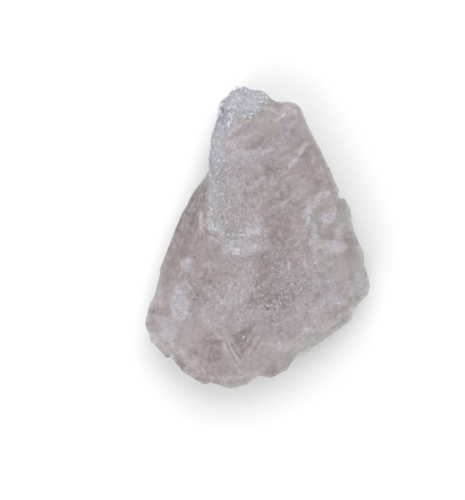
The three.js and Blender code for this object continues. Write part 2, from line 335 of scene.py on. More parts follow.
def split_drop(x, y, split, fade):
    """How far a split goes down below the level of its edge point, and 0 outside it."""
    at, facing, reach, step, fall = split
    along, across = turned(x - at[0], y - at[1], np.radians(facing))
    inside = smooth(-SPLIT_EDGES[0], SPLIT_EDGES[0], along)
    inside = inside * smooth(reach + SPLIT_EDGES[1], reach - fade, abs(across))
    return np.maximum(step + along * np.tan(np.radians(fall)), 0.0) * inside


def big_upper(x, y, inset):
    """The lowest of the main face with its ledges, the rim's upper wall and every wall."""
    face = FACE_HEIGHT + FACE_TILT[0] * x + FACE_TILT[1] * y
    height = np.interp(np.maximum(inset, CREST_INSET), WALL_INSETS, WALL_HEIGHTS)
    u, v = warped(x, y, LEDGE_WARPS, 105)
    for ledge in LEDGES.values():
        fade = min(LEDGE_FADE[0], LEDGE_FADE[1] * ledge[2])
        height = np.minimum(height, face - split_drop(u, v, ledge, fade))
    u, v = warped(x, y, CREASE_WARPS, 101)
    for wall in WALLS.values():
        height = np.minimum(height, face - split_drop(u, v, wall, WALL_FADE))
    return height


def big_lower(x, y, inset):
    """The highest of the rest face, the rim's lower wall and every split of the underside."""
    height = np.interp(inset, FOOT_INSETS, FOOT_HEIGHTS)
    u, v = warped(x, y, CREASE_WARPS, 111)
    for split in LOWER_SPLITS.values():
        height = np.maximum(height, split_drop(u, v, split, WALL_FADE))
    return height


heights = big_upper(np.zeros(2), np.array([-8.0, 40.0]), np.array([30.0, 6.0]))
print("height at the middle and near the tip, mm:", heights.round(2))

# %% [markdown]
# ## The fine relief
#
# Four kinds of small shape make a split salt face look real. Thin rectangular plates, left where the
# split jumped from one layer to the next, have straight edges along both cleavage directions. Scoops
# are the shallow shell-shaped chips along the rim. Sugary grain, of small tilted cubes, covers
# patches where salt grew back, and rounded lumps build the white crust. Each is a height added to the
# face, over all points at once.

# %% Plates, lumps and scoops
PLATE_COUNT = 90
PLATE_LONG = (3.0, 15.0)
PLATE_WIDE = (0.8, 4.5)
PLATE_THICK = (0.03, 0.16)
PLATE_EDGE = 0.22  # mm over which a plate's edge rises
PLATE_ALONG = 0.62  # share of the plates whose long side lies along the first direction
SCOOP_COUNT = 70
SCOOP_RADIUS = (1.6, 5.0)
SCOOP_DEPTH = 0.22  # share of its radius
SCOOP_INSET = (0.2, 1.4)  # mm from the outline to its middle
SCOOP_ZONE = (7.0, 4.0)  # mm from the rim where scoops end, and where they are whole


def plates(x, y, seed):
    """Thin plates: rectangles along the cleavage directions, each a small step up or down."""
    u, v = turned(x, y, CLEAVAGE)
    total = np.zeros(np.shape(x))
    for n in range(PLATE_COUNT):
        pick = [hashed(n, k, seed) for k in range(6)]
        at = turned(PLAN[0] * (pick[0] - 0.5), PLAN[1] * (pick[1] - 0.5), CLEAVAGE)
        half_long = mix(*PLATE_LONG, pick[2] ** 2) / 2
        half_wide = mix(*PLATE_WIDE, pick[3] ** 2) / 2
        if pick[4] > PLATE_ALONG:
            half_long, half_wide = half_wide, half_long
        step = mix(*PLATE_THICK, pick[5]) * (1 if n % 2 else -1)
        inside = smooth(half_long + PLATE_EDGE, half_long, abs(u - at[0]))
        total += step * inside * smooth(half_wide + PLATE_EDGE, half_wide, abs(v - at[1]))
    return total


def lumps(x, y, size, seed):
    """Rounded lumps of grown salt: each cell is a dome, highest at its seed and 0 where it ends."""
    across, along, key = cells(x, y, size, seed, False)
    dome = 1.0 - (np.hypot(across, along) / (0.75 * size)) ** 2
    return 0.35 * size * mix(0.6, 1.0, key) * np.maximum(dome, 0.0)


def scoops(x, y, inset, seed):
    """Depth of the shell-shaped chips: bowls whose middles lie just inside the outline."""
    total = np.zeros(np.shape(x))
    for n in range(SCOOP_COUNT):
        angle = 2 * np.pi * (n + hashed(n, 1, seed)) / SCOOP_COUNT
        radius = mix(*SCOOP_RADIUS, hashed(n, 2, seed) ** 2)
        reach = outline_radius(np.array([angle]))[0] - mix(*SCOOP_INSET, hashed(n, 3, seed))
        away = np.hypot(x - MIDDLE[0] - reach * np.cos(angle), y - MIDDLE[1] - reach * np.sin(angle))
        bowl = SCOOP_DEPTH * radius * (1.0 - (away / radius) ** 2)
        total = np.maximum(total, bowl)
    return total * smooth(*SCOOP_ZONE, inset)


# %% [markdown]
# ## Marks on the face and just under it
#
# What makes this crystal itself is a map of marks: white veils and crusts, clear windows that look
# darker, sugary patches, tan stains and straight bright traces of cleavage, with a few painted glints
# and the painted light and shade of the left flank's crest among them. Each mark is an ellipse,
# a straight-sided shape or a straight stroke at a real place in mm. Noise warps the places before the
# marks are laid, which frays their edges. Each kind adds up to one number per vertex, for the finish.

# %% The list of marks
# kind: where its patches lie: (x, y, half length, half width, turn in degrees, strength), in mm
PATCHES = {
    "crust": {  # the white cap, and the band that runs down from it on the left
        "narrow end": [(-5.8, 44.2, 8.2, 4.4, -4, 0.85), (-4, 43, 4.6, 4.4, -20, 1),
            (-4.6, 40, 3, 2.4, -8, 1), (-10.4, 41.2, 2.6, 4.6, -24, 0.8), (-11.6, 36, 3.3, 6, -14, 1)],
        "left side": [(-13.6, 26.5, 2.6, 9, 2, 0.9), (-14, 15.8, 1.4, 5.6, -4, 0.5)],
    },
    "white": {  # frost and veils: a patch in the middle, spots inside the ring, a patch on the left; two are painted glints
        "narrow end": [(-9.4, 37.4, 3.8, 3, 24, 0.9), (-9.8, 35.2, 2.6, 4.6, -14, 0.75)],
        "left side": [(-13.4, 11.4, 2, 6.5, 2, 0.8), (-14.8, 2.6, 1.6, 5.6, 0, 0.5),
            (-13, 3.2, 3.4, 2.4, -38, 0.95), (-16.6, -22.6, 3.6, 4.2, 0, 0.4),
            (-23.9, -21.2, 3.4, 6.2, -4, 1), (-31, -22, 3, 4.4, 0, 0.4), (-22.2, -8.4, 1.1, 2.6, -22, 0.95),
            # the second patch on the next line is a painted glint, a wider bright patch round the white spot
            # on the left flank
            (-14.2, -18, 2.6, 2.6, 0, 0.55), (-22.4, -9.4, 2, 3.6, -20, 0.55),
            (-14, -26.6, 3.2, 1.5, 0, 0.5), (-17, -12, 4.6, 4.2, 0, 0.35)],
        "middle": [(-10.4, 27, 3.6, 10, -4, 0.35), (-10.6, -0.4, 3, 1.8, -30, 0.55), (-2, 25, 9, 8, 0, 0.14),
            (-7.2, -3, 4.2, 2.7, -14, 0.95), (-3.8, -3.9, 4.4, 2.5, 16, 1), (-2.4, 1.6, 3.6, 2.5, 50, 1),
            (-1, 4.8, 2.6, 2.4, 10, 0.75), (1.8, 2, 1.8, 2.6, 0, 0.55), (-8.4, 11.4, 6, 11.4, 10, 0.56),
            (2.6, -2.4, 2.6, 2.2, 0, 0.35), (-8.6, -19.4, 5.2, 3.6, 20, 0.65),
            (-6.2, -26, 3.4, 2.2, 10, 0.5), (-7.4, 17, 2.6, 2, 30, 0.35), (-11, 14.6, 2.2, 3, 0, 0.6),
            # the third patch on the next line is a painted glint, a small bright spot of light
            (1.5, 10.5, 4.5, 3, 30, 0.3), (-9.6, -15.8, 1.1, 1.3, 0, 0.8), (10.2, -9.9, 0.9, 1.6, 0, 0.9),
            (-11.2, -25, 0.8, 0.8, 0, 0.8), (-3.8, -10.8, 3.4, 4.4, 0, 0.5), (-3.8, -15.4, 4.4, 3, 0, 0.55),
            (6.2, 9.6, 2.4, 1.8, 30, 0.35), (-3, 25.8, 1.7, 1.3, 0, 0.5), (2.6, 26.6, 4.4, 1.2, -12, 0.4),
            (-6.4, 25, 3.6, 6, -8, 0.4), (-1.8, 25.6, 2.8, 2.4, 0, 0.35), (11.8, 12.4, 4, 2.4, 20, 0.25),
            (2, -22.4, 2.6, 2.2, 0, 0.6)],
        "right side": [(20.5, -7.5, 4.4, 3, 0, 0.35), (14, 4, 4.4, 4.4, 0, 0.3), (20, -14, 5, 3.6, 0, 0.35),
            (21, -22.4, 8, 4, 30, 0.3), (22, 6.2, 3, 2, 45, 0.95), (24, -3, 3, 2.5, 20, 0.85),
            (26.2, 2.8, 1.6, 4.4, -10, 0.6), (28.9, 7, 0.6, 2.8, 0, 0.8), (25, -19, 4, 3.6, 10, 0.5),
            (17.6, -22.5, 7.4, 3.2, 12, 0.3), (18, -7, 4.2, 4, 0, 0.3), (31.8, -14.8, 4, 4.6, -8, 0.75),
            (26.2, -25.4, 6.6, 1.3, 45, 0.5)],
        "broad end": [(-1.6, -38, 2.4, 2.6, 0, 0.4), (6.2, -33.8, 4, 2.8, 10, 0.5),
            (-28.4, -30, 5.6, 3.8, 8, 0.62), (16, -29.8, 2.2, 1.3, 10, 0.75),
            (13.8, -33.4, 10, 2.8, 30, 0.35)],
    },
    "clear": {  # windows, depths and clear borders, where little light comes back
        "narrow end": [(11, 38, 2.8, 2.8, 0, 0.3), (9.8, 39.6, 6.6, 4, -10, 0.8)],
        "left side": [(-18.2, -18.6, 3, 3, 0, 0.6), (-14, -4.6, 3.2, 4.4, 0, 0.25),
            (-20.6, 9.6, 3.8, 8, -26, 1), (-15.8, -12.4, 2.6, 3, -8, 0.5), (-20.6, -25.4, 2.4, 2, 0, 0.3),
            (-20, 9, 3, 6, -30, 0.6), (-22.9, -13.2, 1.8, 2.3, 0, 0.7), (-21.8, 5, 5, 15, -24, 0.85),
            (-29, -15, 2.6, 4, 16, 0.4)],
        "middle": [(9.6, -18.4, 3.4, 3, 0, 0.4), (3.2, 20.8, 2.6, 1.5, 48, 0.85),
            (0, 29.6, 4.6, 1.9, 22, 0.45), (6.2, 0.4, 4.6, 4.6, 32, 0.35), (5.2, -7, 6, 4, 20, 0.6),
            (-10.4, 9.6, 2.4, 2.4, 0, 0.4), (11, 30, 4, 3, 40, 0.35), (12, 20, 3, 2.6, 0, 0.35),
            (5.5, 27, 4, 8, -10, 0.35), (6.4, 14.4, 3, 2.4, 30, 0.35), (-1.4, -26.2, 2.2, 2, 0, 0.4),
            (7, -19.6, 5, 7, -30, 0.55)],
        "right side": [(27.4, -2.4, 3.6, 4.2, -12, 0.7), (30, -19.6, 2.4, 2.4, 0, 0.2),
            (24.6, -23.8, 4.4, 2.8, 30, 0.35), (17.8, 22.4, 12, 4.6, -65, 0.75)],
        "broad end": [(-15, -33.1, 4, 1.9, 12, 1), (-19.9, -35.8, 1, 1.8, -28, 0.6),
            (-3.8, -30.2, 3.4, 1.7, 36, 0.95), (-7, -32.6, 1.6, 2.4, 10, 0.6), (5.6, -42, 3.6, 2.2, 20, 0.7),
            (-11, -45.6, 4, 1.8, 0, 0.5), (-26, -38.8, 12, 4.4, -42, 0.95), (-33.2, -29.8, 3, 5, 12, 0.6),
            (8.8, -39, 4.4, 2.6, 30, 0.6), (-15, -43, 8, 3.6, 4, 0.7)],
    },
    "grain": {  # sugary salt
        "left side": [(-14, -20, 6, 6, 0, 0.35), (-24, -17, 4, 7, -10, 0.35)],
        "middle": [(-8.6, 8.8, 6.6, 13, 10, 1), (5, -21.5, 15, 8.5, 16, 0.58), (8, -8, 7, 5, 24, 0.3)],
        "right side": [(24, -12, 5, 4, 0, 0.15)],
    },
    "grooved": {  # fine grooves along the flank
        "left side": [(-23.6, 1, 5.4, 22, -25, 1)],
    },
    "beige": {  # the rim and the windows
        "narrow end": [(2.4, 38.2, 9, 4.6, -10, 0.7)],
        "middle": [(-8, -23, 5.4, 4, 0, 0.6), (-4, 25, 3.4, 4, 0, 0.2)],
        "right side": [(24, -4, 9, 19, -8, 0.8), (17.4, 23.6, 13, 5, -66, 0.95), (31, -18, 4, 9, -30, 0.75)],
        "broad end": [(-10, -38, 9, 4.6, 0, 0.55), (-6, -43.6, 13, 4.4, 2, 0.7),
            (13, -35.4, 13, 4, 36, 0.85), (-24, -31, 5, 3.2, 0, 0.5)],
    },
    "tan": {  # stains, in the hollow and low on the face
        "narrow end": [(-0.2, 30.2, 5, 1.9, 24, 0.9)],
        "left side": [(-16, -16, 5, 5, 0, 0.6), (-26, -10, 3, 5, -20, 0.6), (-22.6, 0, 6, 18, -20, 1)],
        "middle": [(4.6, 1.6, 1.4, 3, -10, 0.7), (3, -18, 8, 9, -20, 0.75), (-11.4, 5.8, 1.3, 0.8, 0, 0.8),
            (-9.4, -19.8, 2.6, 2, 10, 0.6), (8, 2, 9, 12, 20, 0.18)],
        "broad end": [(-3.4, -30.6, 3.6, 2.2, 34, 0.9)],
    },
    "lilac": {  # a cold tint on the upper face and at the corners
        "narrow end": [(10, 34.5, 3.4, 5, 0, 0.8), (9, 41, 4, 2.4, 0, 0.7)],
        "middle": [(-5, 27, 8, 6, 0, 0.8), (2.8, 27.2, 4.2, 1.8, -12, 0.9), (-11.6, 16.6, 4.8, 8, 0, 0.9)],
        "right side": [(22, -18, 4.6, 4, 0, 0.8)],
        "broad end": [(-28, -28, 6, 4.2, 0, 0.7)],
    },
}
# The two clear windows have straight sides: their corners anticlockwise, and their strength.
WINDOWS = [
    (((-20.8, -35.4), (-18.1, -38.1), (-14.9, -39.1), (-10.1, -38.1), (-12.3, -32.7), (-14.4, -31.7)), 0.9),
    (((-8.2, -33.4), (-4.5, -36.5), (-2.2, -33.5), (-0.6, -27.6), (-2.6, -27.8), (-5.9, -30.7)), 1),
]
# kind: strokes: (from x, from y, to x, to y, half width, strength), in mm
STROKES = {
    "white": [
        (26.1, 14, 22, 14.2, 1.5, 0.45), (22, 14.2, 18.1, 10.7, 1.7, 0.7), (18.1, 10.7, 16, 9.3, 1.9, 0.75),
        (16, 9.3, 16, 5.2, 2, 0.75), (16, 5.2, 17.9, 2.5, 1.6, 0.6), (17.9, 2.5, 17.8, -4.6, 1.7, 0.7),
        (15.1, -7.1, 15.6, -11.2, 0.6, 0.6), (15.6, -11.2, 21.1, -14.4, 0.6, 0.6),
        (21.1, -14.4, 26.1, -10.8, 0.5, 0.5), (-17.6, 9, -17.2, 1, 0.6, 0.7), (-16, 0.4, -9, -3.6, 0.5, 0.7),
        (4, 37, -6.5, 36, 0.7, 0.4), (9.6, 21.8, 12.4, 25, 0.6, 0.95),
    ],
    "line": [
        (9.6, 21.6, 12.8, 25.4, 0.75, 1), (12.2, 24.6, 15.4, 29.4, 0.45, 0.9),
        (5.4, 36, 8.6, 38.4, 0.4, 0.9), (0.4, 25.4, 5.6, 27.8, 0.3, 0.5), (0, 17.3, 2.3, 18.7, 0.4, 0.9),
        (7.4, 9.8, 11.4, 13.1, 0.35, 0.8), (-10.2, 32.5, -4.8, 35.1, 0.4, 0.7),
        (10.1, -3.9, 13.8, -0.7, 0.4, 1), (-12.9, -29.3, -5.6, -42.4, 0.32, 0.9),
        (-11.3, -29.6, -5.4, -39.6, 0.32, 0.8), (-9.6, -30.6, -4.4, -37.6, 0.28, 0.5),
        (-4.8, -35.4, -0.2, -28, 0.35, 0.8), (-3, -36.6, 1.2, -30.2, 0.3, 0.7),
        (-1.2, -37.6, 2.4, -32.4, 0.3, 0.5), (-17.2, 7.3, -18.2, -0.8, 0.5, 0.6),
        (-24.4, -13.4, -18.2, -17.2, 0.4, 0.6), (-13.2, -2, -8.2, -6.2, 0.45, 0.7),
        (3, -26.2, 6.6, -29.4, 0.4, 0.5), (4.6, -25, 9, -29, 0.35, 0.4), (13.2, -12, 20.6, -6, 0.35, 0.5),
        (-21, -38, -14.6, -44.4, 0.35, 0.4), (-22.6, -8, -28.6, -19.6, 0.4, 0.4),
        # painted light: from the second stroke here to the first on line three, bright strokes along the
        # left flank are partly real fine lines, partly the lit side of its crest and ridges
        (20.6, 14, 23.8, 18.6, 0.35, 0.4), (-16.6, 16.4, -26.6, -8.6, 0.4, 0.35),
        (-19.4, 12.8, -28.4, -9.6, 0.4, 0.35), (-15.6, 10.6, -22.4, -8, 0.4, 0.3),
        (-21.8, 8.6, -29.8, -10.6, 0.35, 0.3), (-24.6, -9, -30.6, -18, 0.4, 0.3),
        (-32.6, -24, -24.2, -36.2, 0.35, 0.4), (-30.4, -28.6, -25.2, -37, 0.35, 0.4),
        (-3.6, 13.8, 3, 18.4, 0.3, 0.4), (14.6, 31, 17.2, 33.4, 0.35, 0.4), (-2, 6, 2, 12.6, 0.35, 0.5),
        # the second and third strokes on the next line are painted glints, short bright specks of light,
        # raised 0.1 mm like the traces
        (4.6, -14, 10.8, -9, 0.35, 0.5), (-8.4, 15.2, -7.7, 15.7, 0.5, 1), (-5.9, 11.8, -5.7, 12.7, 0.5, 1),
        (-16.8, -6.4, -11.6, -10.2, 0.35, 0.4), (8.4, -34.4, 22, -25.2, 0.35, 0.4),
    ],
    "clear": [
        (29.6, -19, 23.8, -25.6, 0.4, 0.8), (-12.1, -29.6, -5.7, -41, 0.35, 0.7),
        (-10.4, -30.6, -4.8, -38.8, 0.35, 0.7), (-3.9, -36.2, 0.4, -29.4, 0.35, 0.7),
        (-2.1, -37.2, 1.8, -31.6, 0.3, 0.6), (-21, -33.8, -15.6, -42.6, 0.4, 0.5),
        # painted shade: the four strokes on these two lines are dark lines beside the bright flank strokes,
        # the shaded side of the flank's crest and ridges
        (-18.2, 12.6, -27.6, -9, 0.5, 0.4), (-20.4, 12, -29, -10.2, 0.4, 0.3),
        (-16.8, 11, -23.8, -7.6, 0.5, 0.4), (-22.9, 7, -30.3, -11.4, 0.4, 0.3),
        (9, 21.2, 15.2, 26.8, 0.35, 0.5), (18, -23.6, 28.6, -17.4, 0.4, 0.5),
    ],
}
MARK_WARPS = ((6.0, 1.1), (2.2, 0.6), (0.9, 0.3))  # noise that frays the marks: size, and reach in mm
STROKE_WARP = 0.25  # share of that fraying which strokes and windows get
STROKE_TAPER = 0.7  # share of its width that a stroke loses at both ends
# kind: where its patches end and where they are full, as shares of their half sizes
EDGES = {"crust": (1.4, 0.6), "grooved": (1.1, 0.8)}
SOFT_EDGE = (1.5, 0.3)
STROKE_EDGE = (1.5, 0.4)
WINDOW_EDGE = (-0.5, 0.4)  # mm inside the window's sides
KINDS = ("crust", "white", "clear", "grain", "grooved", "beige", "tan", "lilac", "line")


def inside_sides(x, y, corners):
    """How far inside a shape without hollows each point is: the least of its distances to the sides."""
    starts = np.array(corners)
    ways = np.roll(starts, -1, axis=0) - starts
    ways = ways / np.linalg.norm(ways, axis=1)[:, None]
    far = [way[0] * (y - start[1]) - way[1] * (x - start[0]) for start, way in zip(starts, ways)]
    return np.min(far, axis=0)


def marks(kind, x, y):
    """From 0 to 1: 1 less the product of what each patch, window and stroke of the kind leaves bare."""
    bare = 1.0
    u, v = warped(x, y, MARK_WARPS, 5)
    edge = EDGES.get(kind, SOFT_EDGE)
    for patch in sum(PATCHES.get(kind, {}).values(), []):
        at_x, at_y, half_long, half_wide, turn, strength = patch
        along, across = turned(u - at_x, v - at_y, np.radians(turn))
        out = np.hypot(along / half_long, across / half_wide)
        bare = bare * (1.0 - strength * smooth(*edge, out))
    u, v = mix(x, u, STROKE_WARP), mix(y, v, STROKE_WARP)
    for corners, strength in WINDOWS if kind == "clear" else []:
        bare = bare * (1.0 - strength * smooth(*WINDOW_EDGE, inside_sides(u, v, corners)))
    for from_x, from_y, to_x, to_y, half_width, strength in STROKES.get(kind, []):
        way_x, way_y = to_x - from_x, to_y - from_y
        along = ((u - from_x) * way_x + (v - from_y) * way_y) / (way_x**2 + way_y**2)
        share = np.clip(along, 0.0, 1.0)
        away = np.hypot(u - from_x - share * way_x, v - from_y - share * way_y)
        width = half_width * (1.0 - STROKE_TAPER * abs(2.0 * share - 1.0) ** 3)
        bare = bare * (1.0 - strength * smooth(*STROKE_EDGE, away / width))
    return 1.0 - bare


at_cap, at_window = marks("crust", np.array([-4.0, -15.4]), np.array([43.0, -34.6])).round(2)
print("crust at the cap and in the window:", at_cap, at_window)

# %% [markdown]
# ## The slab's surface
#
# A closed surface needs a grid that covers the top, goes round the rim and covers the underside. A
# square grid is bent into a disc, which keeps its squares even and has no crowded middle, and the
# disc is stretched to the outline. The top and the underside are two such grids, and rows of quads
# down the rim join their edges, so the mesh has no seam.

# %% The grid
SIDE = 194  # quads along each side of the square grid
RIM_ROWS = 25
TOP_INSET = 0.35  # how far inside the outline the top grid ends, mm
FOOT_INSET = 1.0
RIM_TURN = 0.05  # share of the rim's height over which it turns from the top grid into the wall


def disc_grid(side):
    """A square grid bent into a disc: each square ring becomes a round ring of the same size."""
    line = np.linspace(-1.0, 1.0, side + 1)
    a, b = np.meshgrid(line, line, indexing="ij")
    wide = abs(a) >= abs(b)
    radius = np.where(wide, a, b)
    share = np.where(wide, b, a) / np.where(radius == 0, 1.0, radius)
    angle = np.where(wide, np.pi / 4 * share, np.pi / 2 - np.pi / 4 * share)
    return radius * np.cos(angle), radius * np.sin(angle)


def grid_edge(side):
    """Indices of a square grid's edge vertices, once round, anticlockwise."""
    index = np.arange((side + 1) ** 2).reshape(side + 1, side + 1)
    return np.concatenate([index[:-1, 0], index[-1, :-1], index[:0:-1, -1], index[0, :0:-1]])


def quads(index):
    """Faces of a grid of vertex indices."""
    corners = [index[:-1, :-1], index[1:, :-1], index[1:, 1:], index[:-1, 1:]]
    return np.stack(corners, axis=-1).reshape(-1, 4)


def upper_side(x, y, inset):
    """Height of the top with its fine relief."""
    height = big_upper(x, y, inset)
    grain = marks("grain", x, y)
    white = marks("white", x, y)
    crust = marks("crust", x, y)
    u, v = turned(x, y, CLEAVAGE)
    face = smooth(1.0, 3.5, inset)
    height = height + face * plates(x, y, 3)
    height -= scoops(x, y, inset, 8)
    height += 0.10 * layered_noise(u, 2.5 * v, 7.0, 21) * face  # waves along the cleavage
    height += 0.35 * layered_noise(x, y, 3.2, 33) * (1 - face)  # an uneven rim
    # sugary grain: cubes of two sizes, and round lumps where it isn't frosted
    height += grain * (0.15 * facets(u, v, 2.6, 41, True, 1.0) + 0.12 * facets(u, v, 1.2, 43, True, 1.0))
    height += 0.55 * grain**2 * smooth(1.0, 0.5, white) * lumps(x, y, 1.6, 45)
    # frost, crust and the raised edges of the straight traces
    height += white * (0.22 * layered_noise(x, y, 2.6, 51) + 0.10 * facets(x, y, 1.2, 53, False, 1.0))
    height += crust**2 * (0.1 + 1.1 * lumps(x, y, 4.2, 57) + 0.25 * lumps(x, y, 1.3, 59))
    height += 0.1 * marks("line", x, y)
    long, wide = turned(x, y, FLANK)
    grooves = 0.09 * soft_noise(0.04 * long, wide, 1.6, 61) + 0.07 * soft_noise(0.06 * long, wide, 0.8, 65)
    return height + grooves * marks("grooved", x, y)


def lower_side(x, y, inset):
    """Height of the underside with its relief, which dies out where it rests."""
    height = big_lower(x, y, inset)
    relief = 0.3 * layered_noise(x, y, 4.0, 63) + 0.8 * plates(x, y, 71)
    return height + smooth(0.15, 1.2, height) * relief


def rim_chips(length, height, crust):
    """How deep the wall is chipped: flat facets where it broke, rounded lumps where crust grew."""
    broken = 0.45 * facets(0.5 * length, 1.2 * height, 5.5, 81, True, 0.5)
    broken += 0.35 * facets(length, 1.6 * height, 2.6, 83, True, 0.6)
    broken += 0.45 * facets(length, height, 6.0, 89, False, 1.6)
    broken += 0.12 * layered_noise(length, height, 2.0, 93)
    grown = -1.2 * lumps(length, height, 2.8, 85) - 0.6 * lumps(length, height, 1.1, 87)
    chip = mix(broken, grown, crust)
    return chip - chip.min(axis=0)


def slab():
    """Vertices in mm and faces of the whole slab."""
    a, b = disc_grid(SIDE)
    angle = np.arctan2(b, a)
    radius = np.hypot(a, b)
    reach = outline_radius(angle)
    sheets = []
    for inset_edge, side in ((TOP_INSET, upper_side), (FOOT_INSET, lower_side)):
        out = radius * (reach - inset_edge)
        x, y = MIDDLE[0] + out * np.cos(angle), MIDDLE[1] + out * np.sin(angle)
        sheets.append(np.stack([x, y, side(x, y, reach - out)], axis=-1).reshape(-1, 3))
    edge = grid_edge(SIDE)
    upper, lower = sheets[0][edge], sheets[1][edge]
    edge_angle, edge_reach = angle.reshape(-1)[edge], reach.reshape(-1)[edge]
    share = np.linspace(0.0, 1.0, RIM_ROWS + 2)[1:-1, None]
    height = mix(upper[:, 2], lower[:, 2], share)
    heights = np.array(FOOT_HEIGHTS[::-1] + WALL_HEIGHTS[1:])
    insets = np.array(FOOT_INSETS[::-1] + WALL_INSETS[1:])
    inset = mix(TOP_INSET, np.interp(height, heights, insets), smooth(0.0, RIM_TURN, share))
    length = np.cumsum(np.hypot(*(upper - np.roll(upper, 1, axis=0)).T[:2])) + 0.0 * height
    chip = rim_chips(length, height, marks("crust", upper[:, 0], upper[:, 1]))
    inset = inset + smooth(0.0, 0.3, share) * smooth(1.0, 0.9, share) * chip
    out = edge_reach - (inset - inset.min(axis=0))
    x, y = MIDDLE[0] + out * np.cos(edge_angle), MIDDLE[1] + out * np.sin(edge_angle)
    band = np.stack([x, y, height], axis=-1).reshape(-1, 3)
    count = (SIDE + 1) ** 2
    between = 2 * count + np.arange(RIM_ROWS * len(edge)).reshape(RIM_ROWS, -1)
    rows = np.vstack([edge, between, edge + count])
    rows = np.hstack([rows, rows[:, :1]])
    index = np.arange(count).reshape(SIDE + 1, SIDE + 1)
    faces = np.vstack([quads(index), quads(index + count)[:, ::-1], quads(rows)])
    return np.vstack([sheets[0], sheets[1], band]), faces


points, faces = slab()
print("slab:", len(points), "points,", len(faces), "faces")
print("its box, mm:", points.min(0).round(2), points.max(0).round(2))

# %% [markdown]
# ## From arrays to a mesh
#
# Blender takes whole arrays of vertices and faces at once. The marks travel with the mesh as named
# attributes, one number per vertex, so the finish follows the surface wherever it is looked at from.

# %% Making a piece
SHARP = np.radians(38.0)  # edges sharper than this stay crisp when the rest is shaded smooth


def make_piece(name, points, faces, attributes, material):
    """A piece of the crystal from points in mm, riding on the crystal's body and standing for its solid."""
    mesh = bpy.data.meshes.new(name)
    mesh.from_pydata((points * MM).tolist(), [], faces.tolist())
    for key, values in attributes.items():
        layer = mesh.attributes.new(key, "FLOAT", "POINT")
        layer.data.foreach_set("value", np.ascontiguousarray(values, dtype=np.float32))
    mesh.shade_smooth()
    mesh.set_sharp_from_angle(angle=SHARP)
    mesh.materials.append(material)
    piece = bpy.data.objects.new(name, mesh)
    bpy.context.scene.collection.objects.link(piece)
    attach(piece, "root")
    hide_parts("halite_crystal")


# %% [markdown]
# ## Numbers in a node tree
#
# A finish is worked out by nodes that pass numbers on. Writing each node down makes long scripts, so
# a small class stands for a number that a tree works out. Adding or multiplying two of them makes
# the node that does it, and a finish then reads like the formula that it is.

# %% Values and nodes
class Value:
    """A number, place or colour that a node tree works out."""

    def __init__(self, tree, socket):
        self.tree = tree
        self.socket = socket

    def worked(self, operation, first, second=0.0):
        """The result of a math node on two values or numbers."""
        node = add_node(self.tree, "Math", {0: first, 1: second}, operation=operation)
        return Value(self.tree, node.outputs[0])

    def __add__(self, other):
        return self.worked("ADD", self, other)

    def __sub__(self, other):
        return self.worked("SUBTRACT", self, other)

    def __mul__(self, other):
        return self.worked("MULTIPLY", self, other)

    def __rtruediv__(self, other):
        return self.worked("DIVIDE", other, self)

    def __abs__(self):
        return self.worked("ABSOLUTE", self)

    __radd__ = __add__
    __rmul__ = __mul__


def set_inputs(tree, inputs, values):
    """Gives inputs their values, by name or number: a Value is linked, a plain number or colour is set."""
    for key, value in values.items():
        if isinstance(value, Value):
            tree.links.new(value.socket, inputs[key])
        else:
            inputs[key].default_value = value


def add_node(tree, kind, values, **settings):
    """A new node of the kind with its settings and the values of its inputs."""
    node = tree.nodes.new("ShaderNode" + kind)
    for name, setting in settings.items():
        setattr(node, name, setting)
    set_inputs(tree, node.inputs, values)
    return node


def larger(first, second):
    """The larger of two, of which the second is a Value."""
    return second.worked("MAXIMUM", first, second)


def ramp(value, start, end):
    """A smooth change from one number to another: start and end are (value, result) pairs."""
    ends = {"From Min": start[0], "From Max": end[0], "To Min": start[1], "To Max": end[1]}
    node = add_node(value.tree, "MapRange", {"Value": value, **ends}, interpolation_type="SMOOTHSTEP")
    return Value(value.tree, node.outputs[0])


def blend_colour(share, first, second):
    """first where share is 0, second where it is 1; each is a Value or a colour."""
    node = add_node(share.tree, "Mix", {0: share}, data_type="RGBA")
    colours = [socket for socket in node.inputs if socket.type == "RGBA"]
    set_inputs(share.tree, colours, {0: first, 1: second})
    return Value(share.tree, [socket for socket in node.outputs if socket.type == "RGBA"][0])


def millimetres(tree, stretch=(1, 1, 1), turn=0.0):
    """Object coordinates in mm, turned about Z and then stretched along the turned axes."""
    place = Value(tree, add_node(tree, "TexCoord", {}).outputs["Object"])
    for kind, values in (("Rotation", (0, 0, -turn)), ("Scale", tuple(1000.0 * s for s in stretch))):
        node = add_node(tree, "Mapping", {kind: values, "Vector": place}, vector_type="POINT")
        place = Value(tree, node.outputs["Vector"])
    return place


def noise(place, scale, detail=3.0, roughness=0.55, distortion=0.0):
    """Blender's own noise, from 0 to 1, at a scale per mm."""
    values = {"Scale": scale, "Detail": detail, "Roughness": roughness, "Distortion": distortion}
    return Value(place.tree, add_node(place.tree, "TexNoise", {"Vector": place, **values}).outputs["Fac"])


def thin_lines(value, width):
    """1 where a noise crosses its middle and 0 further off: thin curved lines."""
    return ramp(abs(value - 0.5), (0.0, 1.0), (width, 0.0))


# %% [markdown]
# ## Effects shared by the finishes
#
# The finishes need the same few effects: veils that cloud the salt, fine cleavage traces that run
# straight across a face, and the feathers and flecks of sugary grain. Each is a node group, a small
# machine with named inputs and outputs that can be placed in any material with its own values.

